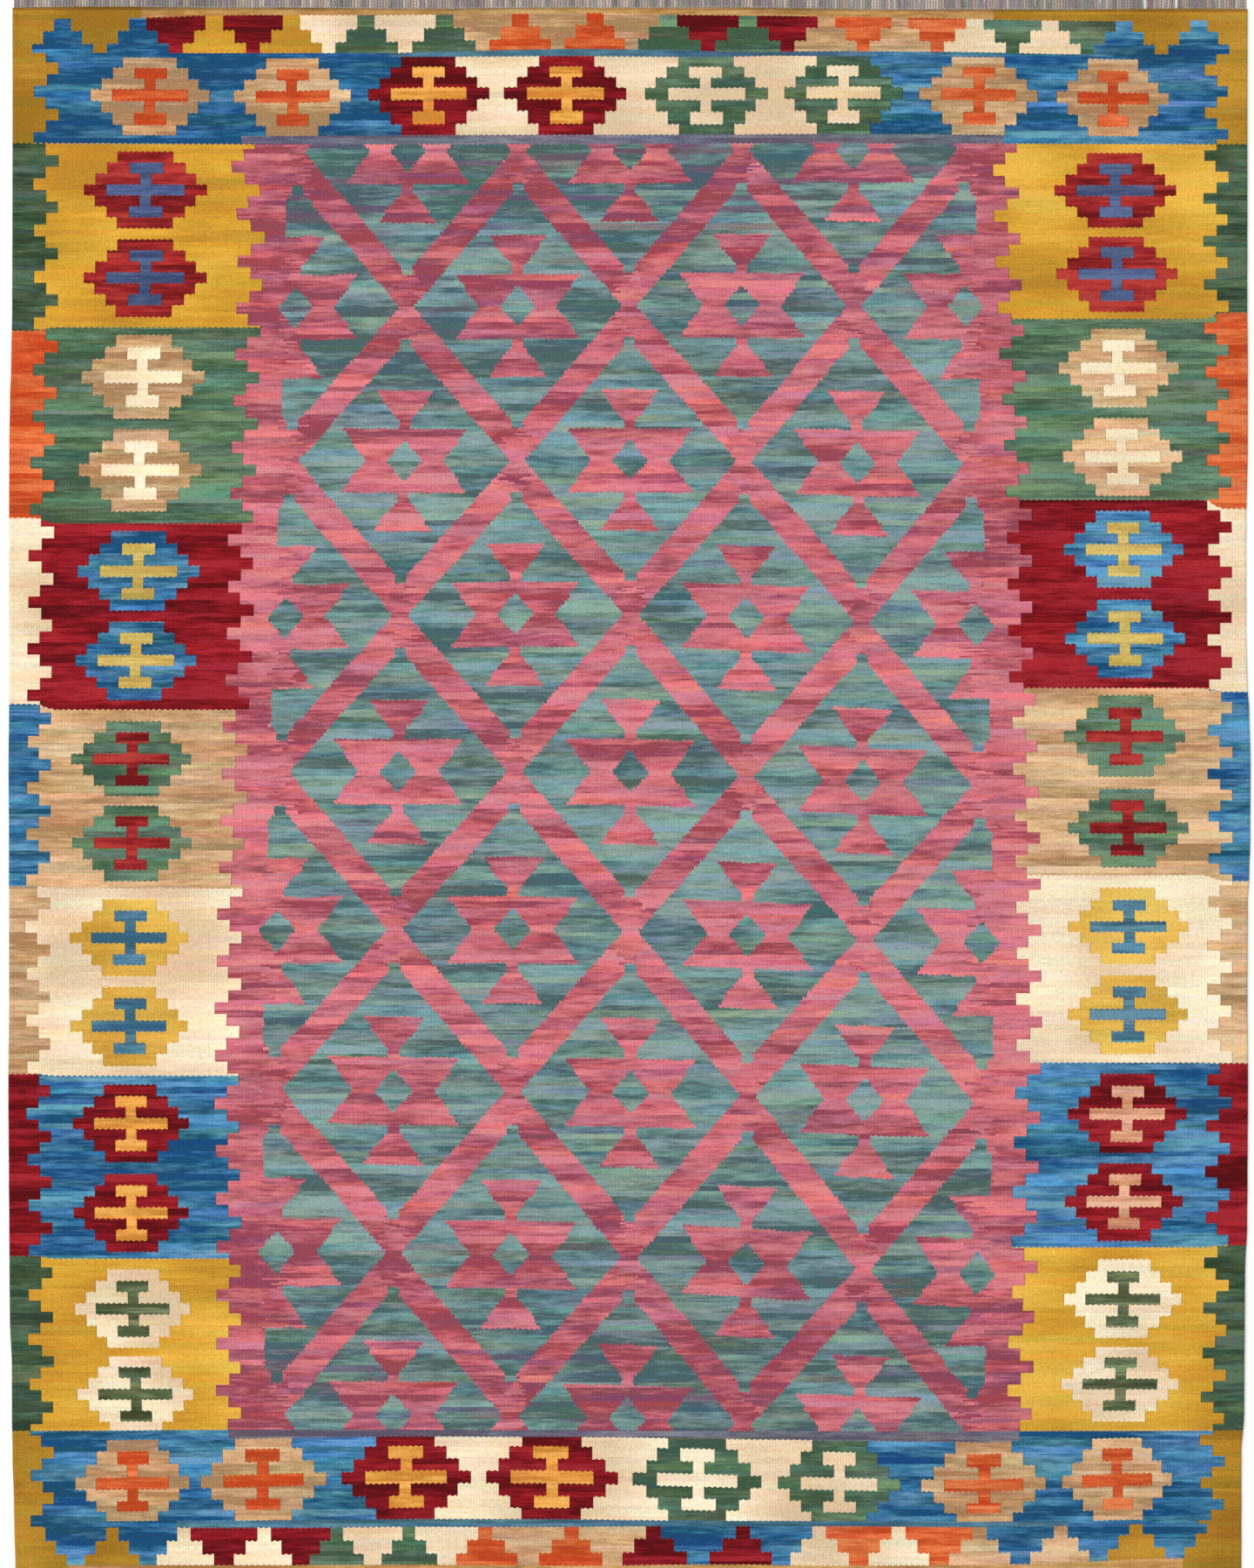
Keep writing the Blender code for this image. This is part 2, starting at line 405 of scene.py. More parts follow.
def bandPlaces(across, down):
    # row lines counted inwards from the nearer end, and hexagon cells and triangles counted along it
    topWave, topLength = endBands["topWander"]
    bottomWave, bottomLength = endBands["bottomWander"]
    up = cloth["length"] * 1000 - down
    fromTop = saggedRows("top", across, down + topWave * np.sin(across / topLength), 1)
    fromBottom = saggedRows("bottom", across, up + bottomWave * np.sin(across / bottomLength), -1)
    cells = []
    tips = []
    for end in ("top", "bottom"):
        half = np.array(hexagonBand[end + "Half"])
        knots = spreadCounts(hexagonBand[end], half, hexagonBand["cells"], hexagonBand["period"])
        cells.append(curveThrough(*knots, across))
        tips.append(curveThrough(triangleRow[end], np.arange(len(triangleRow[end])), across))
    upper = down < cloth["length"] * 500
    return np.minimum(fromTop, fromBottom), np.where(upper, *cells), np.where(upper, *tips)


def sidePlaces(across, down):
    # cell and row of the side borders' hexagons, and which block a point is in
    cells = []
    rows = []
    blocks = []
    for side in ("left", "right"):
        middle = curveThrough(sideHexagon[side + "Down"], sideHexagon[side + "Across"], down)
        cellWidth = np.interp(down, sideHexagon["cellDown"], sideHexagon[side + "Cell"])
        cells.append((across - middle) / cellWidth)
        half = np.array(sideHexagon[side + "Half"])
        knots = spreadCounts(sideHexagon[side + "Down"], half, sideHexagon["rows"], sideHexagon["period"])
        rows.append(curveThrough(*knots, down))
        lines = np.arange(len(sideBlock[side]))
        block = curveThrough(sideBlock[side], lines, down)
        guardBlock = curveThrough(sideBlock[side + "Guard"], lines, down)
        inGuard = np.clip((np.abs(across) - sideBlock["guardFrom"]) / sideBlock["guardOver"], 0, 1)
        blocks.append(block + (guardBlock - block) * inGuard)
    return sideOf(across, *cells), sideOf(across, *rows), sideOf(across, *blocks)


def teethPlaces(teeth, across, down):
    # distance inwards from the stepped line, in steps, and a count of rows that gains four at each tooth
    left = (across - curveThrough(teeth["down"], teeth["left"], down)) / teeth["step"]
    right = (curveThrough(teeth["down"], teeth["right"], down) - across) / teeth["step"]
    counts = []
    for side in ("left", "right"):
        tips = curveThrough(teeth[side + "TipsDown"], teeth[side + "Tips"], down)
        counts.append(toothRows["rows"] * tips + toothRows[side])
    return sideOf(across, left, right), sideOf(across, *counts)


def pointsOf(mesh):
    points = np.empty(len(mesh.vertices) * 3, np.float32)
    mesh.vertices.foreach_get("co", points)
    return points.reshape(-1, 3)


def layPattern(piece):
    # stores the pattern's own coordinates on the cloth, so that the material only has to count cells
    points = pointsOf(piece.data).astype(float)
    across = points[:, 0] * 1000
    down = cloth["length"] * 500 - points[:, 1] * 1000
    fieldStep, fieldRow = fieldPlaces(across, down)
    endRow, bandCell, triangle = bandPlaces(across, down)
    sideCell, sideRow, block = sidePlaces(across, down)
    innerReach, innerCount = teethPlaces(innerTeeth, across, down)
    outerReach, outerCount = teethPlaces(outerTeeth, across, down)
    storeVector(piece, "fieldChart", np.stack([fieldStep, fieldRow, endRow], axis=1))
    storeVector(piece, "sideChart", np.stack([sideCell, sideRow, block], axis=1))
    storeVector(piece, "innerChart", np.stack([innerReach, innerCount, bandCell], axis=1))
    storeVector(piece, "outerChart", np.stack([outerReach, outerCount, triangle], axis=1))


def planeMap(piece):
    # one flat map over the whole cloth; top and underside share it, as the weave shows the same on both
    mesh = piece.data
    points = pointsOf(mesh)
    margin = 0.002
    low = points.min(axis=0)
    size = points.max(axis=0) - low
    corner = np.empty(len(mesh.loops), np.int32)
    mesh.loops.foreach_get("vertex_index", corner)
    flat = margin + (1 - 2 * margin) * (points[corner, :2] - low[:2]) / size[:2]
    layer = mesh.uv_layers.new(name="OFBake")
    layer.data.foreach_set("uv", flat.astype(np.float32).ravel())


# shader arithmetic

class Wire:
    # one value in a material; plain arithmetic on it adds the Math nodes
    def __init__(self, tree, socket):
        self.tree = tree
        self.socket = socket

    def math(self, operation, *others):
        inputs = dict(enumerate((self, *others)))
        return Wire(self.tree, addNode(self.tree, "ShaderNodeMath", inputs, operation=operation).outputs[0])

    def __add__(self, other):
        return self.math("ADD", other)

    def __sub__(self, other):
        return self.math("SUBTRACT", other)

    def __rsub__(self, other):
        return (self * -1) + other

    def __mul__(self, other):
        return self.math("MULTIPLY", other)

    def __truediv__(self, other):
        return self.math("DIVIDE", other)

    def __lt__(self, other):
        return self.math("LESS_THAN", other)

    def __gt__(self, other):
        return self.math("GREATER_THAN", other)

    def __or__(self, other):
        return self.math("MAXIMUM", other)

    def __invert__(self):
        return (self * -1) + 1

    __radd__ = __add__
    __rmul__ = __mul__
    __and__ = __mul__

    def size(self):
        return self.math("ABSOLUTE")

    def floor(self):
        return self.math("FLOOR")

    def nearest(self):
        return (self + 0.5).floor()

    def sine(self):
        return self.math("SINE")

    def wrapped(self, most, least):
        return self.math("WRAP", most, least)


def addNode(tree, kind, inputs, **settings):
    # a node with these settings; each input is a wire to it or a constant on its socket
    node = tree.nodes.new(kind)
    for name, value in settings.items():
        setattr(node, name, value)
    for place, value in inputs.items():
        if isinstance(value, Wire):
            tree.links.new(value.socket, node.inputs[place])
        else:
            node.inputs[place].default_value = value
    return node


def pick(mask, yes, no):
    # yes where the mask is 1, no where it is 0
    node = addNode(mask.tree, "ShaderNodeMix", {0: mask, 2: no, 3: yes}, data_type="FLOAT")
    return Wire(mask.tree, node.outputs[0])


def blend(share, first, second):
    # one colour over another
    node = addNode(share.tree, "ShaderNodeMix", {0: share, 6: first, 7: second}, data_type="RGBA")
    return Wire(share.tree, node.outputs[2])


def split(vector):
    node = addNode(vector.tree, "ShaderNodeSeparateXYZ", {0: vector})
    return [Wire(vector.tree, output) for output in node.outputs]


def attributeParts(tree, name):
    source = addNode(tree, "ShaderNodeAttribute", {}, attribute_name=name)
    return split(Wire(tree, source.outputs["Vector"]))


def placeParts(tree):
    source = addNode(tree, "ShaderNodeTexCoord", {})
    return split(Wire(tree, source.outputs["Object"]))


def joined(x, y, z=0.0):
    node = addNode(x.tree, "ShaderNodeCombineXYZ", {0: x, 1: y, 2: z})
    return Wire(x.tree, node.outputs[0])


def cloud(vector, detail, roughness):
    # smooth noise from 0 to 1, one swell for each unit
    inputs = {"Vector": vector, "Scale": 1.0, "Detail": detail, "Roughness": roughness}
    return Wire(vector.tree, addNode(vector.tree, "ShaderNodeTexNoise", inputs).outputs[0])


def scatter(vector):
    # one random number from 0 to 1 for each whole-numbered place; fixed numbers in it keep draws apart
    node = addNode(vector.tree, "ShaderNodeTexWhiteNoise", {"Vector": vector}, noise_dimensions="3D")
    return Wire(vector.tree, node.outputs["Value"])


def steppedRamp(place, count, colours):
    # a colour band cut into count equal stops, without blending; place counts them from 0
    node = addNode(place.tree, "ShaderNodeValToRGB", {0: (place + 0.5) / count})
    band = node.color_ramp
    band.interpolation = "CONSTANT"
    while len(band.elements) < len(colours):
        band.elements.new(1.0)
    for stop, colour in enumerate(colours):
        band.elements[stop].position = stop / count
        band.elements[stop].color = colour
    return node


def namesAt(place, rows):
    # looks up yarn numbers by whole-numbered place: a colour band used as a table of up to four columns
    count = len(rows)
    filled = [[yarnNumber[name] / yarnPlaces for name in row] + [0.0] * (4 - len(row)) for row in rows]
    tree = place.tree
    ramp = steppedRamp(place.math("MAXIMUM", 0).math("MINIMUM", count - 1), count, filled)
    colour = addNode(tree, "ShaderNodeSeparateColor", {0: Wire(tree, ramp.outputs[0])})
    sockets = [*colour.outputs, ramp.outputs[1]]
    return [Wire(tree, socket) * yarnPlaces for socket in sockets[: len(rows[0])]]


def startMaterial(name):
    material = bpy.data.materials.new(name)
    material.use_nodes = True
    material.node_tree.nodes.clear()
    return material, material.node_tree


def finishMaterial(tree, colour, height, look, roughness):
    # a Principled shader of this colour and roughness, with a bump from the height
    bump = addNode(tree, "ShaderNodeBump", {
        "Strength": look["relief"],
        "Distance": look["reliefHeight"],
        "Height": height,
    })
    shader = addNode(tree, "ShaderNodeBsdfPrincipled", {
        "Base Color": colour,
        "Normal": Wire(tree, bump.outputs[0]),
        "Roughness": roughness,
        "Sheen Weight": look["sheen"],
        "Sheen Roughness": look["sheenRoughness"],
        "Specular IOR Level": look["gloss"],
    })
    addNode(tree, "ShaderNodeOutputMaterial", {0: Wire(tree, shader.outputs[0])})


# yarns and the chart

yarns = {  # dark, middle and light dye lots of each yarn as screen colours, and how far its hue strays
    "teal": ((70, 95, 97), (108, 136, 135), (134, 160, 157), 1.1),
    "rose": ((146, 66, 80), (192, 103, 114), (214, 126, 135), 0.9),
    "blue": ((18, 72, 112), (60, 116, 154), (98, 154, 190), 1.3),
    "yellow": ((182, 130, 38), (207, 155, 47), (228, 180, 72), 0.5),
    "green": ((60, 84, 62), (85, 112, 88), (110, 140, 114), 1.25),
    "darkRed": ((86, 2, 8), (132, 14, 26), (160, 34, 44), 0.7),
    "crimson": ((104, 12, 16), (149, 32, 34), (178, 58, 50), 0.7),
    "tan": ((162, 124, 86), (200, 161, 120), (228, 192, 150), 0.65),
    "ivory": ((216, 188, 152), (235, 212, 178), (249, 236, 204), 0.4),
    "orange": ((182, 64, 24), (205, 92, 46), (224, 124, 74), 0.7),
    "gold": ((150, 108, 27), (172, 126, 36), (188, 142, 48), 0.6),
    "deepGreen": ((42, 62, 42), (64, 85, 63), (88, 110, 86), 1.2),
    "violet": ((54, 66, 104), (70, 88, 124), (90, 108, 148), 0.6),
    "straw": ((174, 146, 72), (194, 166, 86), (214, 188, 108), 0.5),
    "slate": ((50, 90, 112), (72, 112, 134), (94, 140, 160), 0.8),
    "honey": ((200, 126, 48), (228, 160, 72), (240, 176, 92), 0.5),
    "peach": ((182, 120, 88), (208, 150, 118), (234, 178, 144), 0.5),
    "olive": ((54, 66, 38), (84, 94, 66), (124, 132, 96), 0.8),
    "dusk": ((88, 80, 98), (108, 108, 122), (134, 130, 138), 0.8),
    "sand": ((160, 116, 64), (192, 146, 88), (206, 166, 108), 0.6),
    "butter": ((190, 143, 50), (210, 166, 68), (232, 190, 92), 0.5),
}
calmYarns = {"yellow": 0.6, "butter": 0.6, "ivory": 0.6, "gold": 0.5, "tan": 0.15}  # less streaky by this
plum = (112, 66, 100)  # odd dark streaks near both ends of the field
yarnNumber = {name: number for number, name in enumerate(yarns)}
yarnPlaces = 32  # a colour band holds this many yarns at most

sideRows = (  # ground, hexagon, cross and guard of each block, from the top
    ("yellow", "crimson", "violet", "deepGreen"),
    ("green", "tan", "ivory", "orange"),
    ("darkRed", "blue", "straw", "ivory"),
    ("tan", "green", "crimson", "blue"),
    ("ivory", "butter", "slate", "tan"),
    ("blue", "darkRed", "honey", "darkRed"),
    ("yellow", "ivory", "olive", "deepGreen"),
)

bandColumns = (  # hexagon, cross, ground to its left and ground to its right, from the left
    ("tan", "orange", "blue", "blue"),
    ("tan", "orange", "blue", "blue"),
    ("darkRed", "honey", "blue", "ivory"),
    ("darkRed", "honey", "ivory", "ivory"),
    ("green", "ivory", "ivory", "ivory"),
    ("green", "ivory", "ivory", "blue"),
    ("tan", "orange", "blue", "blue"),
    ("tan", "orange", "blue", "blue"),
)

standingTwos = (  # standing triangles of the top row and of the bottom row, which come in twos
    ("blue", "gold"), ("yellow", "ivory"), ("green", "green"), ("orange", "orange"),
    ("green", "darkRed"), ("tan", "ivory"), ("ivory", "tan"), ("blue", "gold"),
)
standing = [pair for pair in standingTwos for copy in range(2)]

hanging = (  # hanging triangles between them, with the corners first and last
    ("gold", "gold"), ("gold", "blue"), ("darkRed", "blue"), ("darkRed", "darkRed"),
    ("ivory", "darkRed"), ("ivory", "ivory"), ("tan", "ivory"), ("tan", "tan"),
    ("tan", "tan"), ("darkRed", "blue"), ("darkRed", "blue"), ("orange", "orange"),
    ("orange", "orange"), ("green", "blue"), ("green", "blue"), ("gold", "blue"),
    ("gold", "gold"),
)

weave = {
    "warpPitch": 0.00341,
    "pick": 0.00105,
    "slitWidth": 0.055,  # in chart steps
    # painted shade in the open slits
    "slitShade": 0.45,
    "slitDepth": 1.2,  # this and the heights below are shares of the relief
    "ribHeight": 0.7,
    "leanHeight": 0.35,
    "fuzzHeight": 0.35,
    "hemFrom": 0.9442,  # the last picks of the top end are darker
    "hemSlant": 0.004,
    "hemShade": 0.4,
    "uneven": 0.15,  # how far a step's edge strays, in chart steps
    "interlock": 0.035,  # how far neighbouring warps part at a level colour change, in chart rows
    "grooveShade": 0.16,  # painted shade: how much darker it is between two ribs
    "leanShade": 0.08,  # and painted shade between two picks
    "fuzzScale": 900,
    "speckScale": (190, 330),
    "plainShade": 0.72,
    "fuzzShade": 0.16,
    "speckShade": 0.48,
    "castShade": 0.12,
    "reliefHeight": 0.0005,
    "relief": 0.55,
    "roughness": 0.92,
    "roughSpread": 0.12,
    "sheen": 0.04,
    "sheenRoughness": 0.6,
    "gloss": 0.12,
}

dyeingAndPaintedLight = {  # how strongly each kind of uneven dyeing shows, and how far the ends are darkened and the right side painted lighter
    "lot": 1.5,
    "streak": 2.1,
    "thread": 1.4,
    "cast": 0.9,
    "castAcross": 1.3,  # changes in a metre
    "castAlong": 11.0,
    "broad": 4.2,  # calm yarns change slowly instead
    "broadScale": 6.0,
    "pairInRun": 0.3,  # the share of a run of picks that one pair takes up
    "runRagged": 0.4,
    "warmth": 0.8,  # how far a stretch of yarn strays between warm and cold
    "leafy": 0.5,  # and between green and purple
    "endFrom": 0.42,  # beyond this far from the middle the field begins to darken
    "endOver": 0.42,
    "darkEnds": 0.32,  # the field is darker towards both ends
    "topBand": 0.26,  # and both end bands are darker, most of all the top one
    "bottomBand": 0.13,
    "rightPaintedLight": 0.16,  # painted light: the right side is made lighter
    "plumFrom": 0.56,
    "plumRise": 9,
    "plumMost": 0.7,
}

streaks = {  # changes in a metre of weft, change between runs of picks, two starts, detail and roughness
    "lot": (3.0, 0.25, 0, 0, 0.0, 0.5),
    "streak": (7.0, 0.65, 0, 0, 1.0, 0.55),
    "thread": (38.0, 0.6, 0, 0, 1.0, 0.5),
    "warmth": (6.0, 0.5, 9, 0, 1.0, 0.5),
    "leafy": (5.0, 0.6, 4, 7, 1.0, 0.5),
    "odd": (5.0, 0.8, 3, 0, 1.0, 0.5),
}

diamond = {  # in steps across and rows along, counted from the middle of each diamond
    "halfWide": 10,
    "halfTall": 12,
    "reach": 9.45,  # steps and rows together, out to the slanting edge
    "wide": 9.2,
    "tipWide": 0.5,
    "tipTall": 9.5,
    "figureTall": 5.4,
    "waist": 3.4,
    "waistSlope": 0.9,
    "footFrom": 2.5,
    "footSlope": 0.85,
    "footBack": 2.05,
    "footLeast": 0.5,
    "eye": 1.6,
    "fieldWide": 30.5,  # the diamonds end this far from the middle of the field
    "tipsWider": 0.6,
    "marginFrom": 28.5,
    "marginOver": 3,
    "bandLoose": 1.6,  # how far the edges of areas stray within a band
    "crossing": 0.11,
}


def slitAt(reach, line):
    # 1 within half a slit of an upright edge between two yarns
    return (reach - line).size() < weave["slitWidth"] / 2


def quarter(value):
    # rounds to the middle of a quarter of a chart step: one warp across, or a few picks up
    return ((value * 4).floor() + 0.5) / 4


def strayed(value, *place):
    # moved a little, by its own random share for each whole-numbered place
    return value + (scatter(joined(*place)) - 0.5) * weave["uneven"]


def fieldYarn(step, row, pairs):
    # diamonds 19 steps wide and 19 rows tall hold a waisted figure with an eye and a foot at each end, all
    # with edges that climb warp by warp; the slanting bands between them and the side margins are rose
    halfWide = diamond["halfWide"]
    halfTall = diamond["halfTall"]
    slope = halfTall / halfWide
    local = step.wrapped(halfWide, -halfWide)
    inWide = local.size()
    inTall = row.wrapped(halfTall, -halfTall).size()
    other = (inWide * slope + inTall) > halfTall
    wide = pick(other, halfWide - inWide, inWide)
    tall = pick(other, halfTall - inTall, inTall)
    reach = wide + tall
    lowPart = tall < diamond["figureTall"]
    inside = step.size() < (tall > diamond["figureTall"]) * diamond["tipsWider"] + diamond["fieldWide"]
    tip = (wide < diamond["tipWide"]) & (tall < diamond["tipTall"])
    body = (((reach < diamond["reach"]) & (wide < diamond["wide"])) | tip) & inside
    waist = tall * diamond["waistSlope"] + diamond["waist"]
    foot = (tall * diamond["footSlope"] - diamond["footBack"]).math("MAXIMUM", diamond["footLeast"])
    figure = (wide < pick(tall < diamond["footFrom"], waist, foot)) & lowPart
    eye = reach < diamond["eye"]
    teal = eye | (body & ~figure)
    yarn = pick(teal, yarnNumber["teal"], yarnNumber["rose"])

    # a number for each separately woven area: half diamond, figure, stretch of band, crossing or margin;
    # the factors only keep these numbers apart
    acrossCount = step / (2 * halfWide)
    alongCount = row / (2 * halfTall)
    column = pick(other, acrossCount.floor() + 0.5, acrossCount.nearest())
    line = pick(other, alongCount.floor() + 0.5, alongCount.nearest())
    halves = (local > 0) & lowPart & ~figure
    area = column * 1.7 + line * 0.9 + halves * 0.23 + figure * 0.35
    loose = step + (scatter(joined(pairs, 6.0)) - 0.5) * diamond["bandLoose"]
    rising = (loose * slope - row - halfTall) / (2 * halfTall)
    falling = (loose * slope + row - halfTall) / (2 * halfTall)
    risingNumber = rising.nearest()
    fallingNumber = falling.nearest()
    offRising = (rising - risingNumber).size()
    offFalling = (falling - fallingNumber).size()
    level = (row / halfTall).floor()
    band = pick(offRising < offFalling, risingNumber * 1.7 + 0.4, fallingNumber * 1.3) + level * 0.9
    crossing = risingNumber * 0.7 + fallingNumber * 1.1
    band = pick(offRising.math("MAXIMUM", offFalling) < diamond["crossing"], crossing, band)
    margin = step.size() > scatter(joined(pairs, 5.0)) * diamond["marginOver"] + diamond["marginFrom"]
    area = pick(teal, area, pick(margin, 7.7, pick(figure, area, band)))
    return yarn, area


def hexagon(cell, row):
    # seven rows, 11 cells wide in the middle and one less a side with each row out, with a capped cross
    body = ((cell + row) < 5.5) & (row < 3.5)
    upright = (cell < 0.5) & (row < 2.5)
    bar = (cell < 3.5) & (row < 0.5)
    cap = (cell < 1.5) & ((row - 2).size() < 0.5)
    slit = (slitAt(cell + row, 5.5) & (row < 3.5)) | (slitAt(cell, 0.5) & ((row - 1).size() < 0.5))
    slit = slit | (slitAt(cell, 3.5) & (row < 0.5)) | (slitAt(cell, 1.5) & ((row - 2).size() < 0.5))
    return body, upright | bar | cap, slit


def toothLine(count):
    # rows step in the order middle, in, middle, out
    return (count.floor() * (np.pi / 2)).sine()


def fieldPart(step, row, parted, pairs):
    # the field's yarn and area, with its edges on whole warps
    row = quarter(strayed(row + parted, step.nearest(), 3.0, 1.0))
    step = quarter(strayed(step, row, (step / 7).floor(), 2.0))
    return fieldYarn(step, row, pairs)


def borderPart(side, band, x, upper, parted):
    # the side borders and the end bands share the hexagon: their yarn, the guard's yarn and the slits
    sideCell, sideRow, block = side
    inBand, bandRow, bandCell = band
    bandNumber = (bandCell / hexagonBand["period"]).nearest()
    bandOffset = bandCell - bandNumber * hexagonBand["period"]
    sideLocal = sideRow + parted
    sideLocal = sideLocal - (sideLocal / sideHexagon["period"]).nearest() * sideHexagon["period"]
    rowPlace = pick(inBand, bandRow - hexagonBand["middleRow"], sideLocal).nearest()
    cellPlace = pick(inBand, bandOffset, sideCell)
    cellPlace = strayed(cellPlace, rowPlace, pick(inBand, bandNumber, block.floor()), upper).size()
    halfRow = len(bandColumns) / 2 * hexagonBand["period"]
    fromMiddle = (bandCell - (halfRow - hexagonBand["period"] / 2)).size()
    counted = pick(inBand, fromMiddle < halfRow, 1.0)
    body, cross, slit = [part & counted for part in hexagon(cellPlace, rowPlace.size())]
    bandBody, bandCross, bandLeft, bandRight = namesAt(bandNumber, bandColumns)
    blockNumber = (block + parted / sideBlock["rows"]).floor()
    sideGround, sideBody, sideCross, guard = namesAt(blockNumber, sideRows)
    peachy = ((block - sideBlock["peachMiddle"]).size() < 0.5) & (x > 0)
    sideCross = pick(peachy, yarnNumber["peach"], sideCross)
    ground = pick(inBand, pick(bandOffset > 0, bandRight, bandLeft), sideGround)
    yarn = pick(body, pick(inBand, bandBody, sideBody), ground)
    yarn = pick(cross, pick(inBand, bandCross, sideCross), yarn)
    return yarn, guard, slit


def lineYarn(yarn, endRow, triangle, upper, innerReach):
    # puts a line of one row beside the triangles and another beside the field
    onInner = (endRow - endBands["innerLine"]).size() < 0.5
    onLine = ((endRow - endBands["outerLine"]).size() < 0.5) | onInner
    dullPart = pick(upper, *triangleRow["slatePart"]) > (triangle - triangleRow["middle"]).size()
    outerLine = pick(dullPart, yarnNumber["slate"], yarnNumber["blue"])
    innerLine = pick(innerReach > 0, yarnNumber["dusk"], yarnNumber["blue"])
    return pick(onLine, pick(onInner, innerLine, outerLine), yarn)


def endYarn(yarn, endRow, triangle, upper):
    # puts triangles that narrow in steps into the last rows, and a plain strip beyond them
    standTop, standBottom = namesAt(triangle.nearest(), standing)
    hangTop, hangBottom = namesAt(triangle.floor() + 1, hanging)
    aside = (triangle - triangle.nearest()).size()
    step = endRow.floor()
    (topFrom, topSpread), (bottomFrom, bottomSpread) = triangleRow["sides"]
    limit = pick(upper, (step + topFrom) / topSpread, (bottomFrom - step) / bottomSpread)
    stands = (aside < limit) & ((triangle - triangleRow["middle"]).size() < len(standing) / 2)
    cornered = pick(stands, pick(upper, standTop, standBottom), pick(upper, hangTop, hangBottom))
    yarn = pick(endRow < endBands["triangleRows"], cornered, yarn)
    fromSand = (triangle - pick(upper, *triangleRow["sandMiddle"])).size()
    sandy = fromSand < pick(upper, *triangleRow["sandPart"])
    strip = pick(sandy, yarnNumber["sand"], yarnNumber["gold"])
    return pick(endRow < 0, strip, yarn)


def chartedYarns(tree, x, y, pairs, oddWarp):
    # follows the chart: the yarn, area and slits at each point, and masks of the field and the end bands
    upper = y > 0
    parted = (oddWarp - 0.5) * (2 * weave["interlock"])
    fieldStep, fieldRow, endRow = attributeParts(tree, "fieldChart")
    sideCell, sideRow, block = attributeParts(tree, "sideChart")
    innerReach, innerCount, bandCell = attributeParts(tree, "innerChart")
    outerReach, outerCount, triangle = attributeParts(tree, "outerChart")
    fieldOne, area = fieldPart(fieldStep, fieldRow, parted, pairs)
    endRow = endRow + parted
    inBand = endRow < endBands["rows"]
    side = (sideCell, sideRow, block)
    borderOne, guard, slit = borderPart(side, (inBand, endRow, bandCell), x, upper, parted)
    innerEdge = strayed(toothLine(innerCount), innerCount.floor(), upper, x > 0)
    inField = (innerReach > innerEdge) & ~inBand
    yarn = pick(inField, fieldOne, borderOne)
    slit = pick(inField, 0.0, slit) | (slitAt(innerReach, innerEdge) & ~inBand)
    yarn = lineYarn(yarn, endRow, triangle, upper, innerReach)
    outerEdge = strayed(toothLine(outerCount), outerCount.floor(), upper, x > 0)
    yarn = pick(outerReach < outerEdge, pick(inBand, yarnNumber["gold"], guard), yarn)
    slit = (slit | slitAt(outerReach, outerEdge)) & ~(endRow < endBands["triangleRows"])
    yarn = endYarn(yarn, endRow, triangle, upper)
    area = pick(inField, area, block.floor() * 0.6)
    return yarn, area, slit, inField, inBand


def streakOf(kind, flow, picks, level):
    # noise that is long along the weft and changes every few picks
    often, climb, start, levelStart, detail, roughness = streaks[kind]
    return cloud(joined(flow * often + start, picks * climb + level + levelStart), detail, roughness)


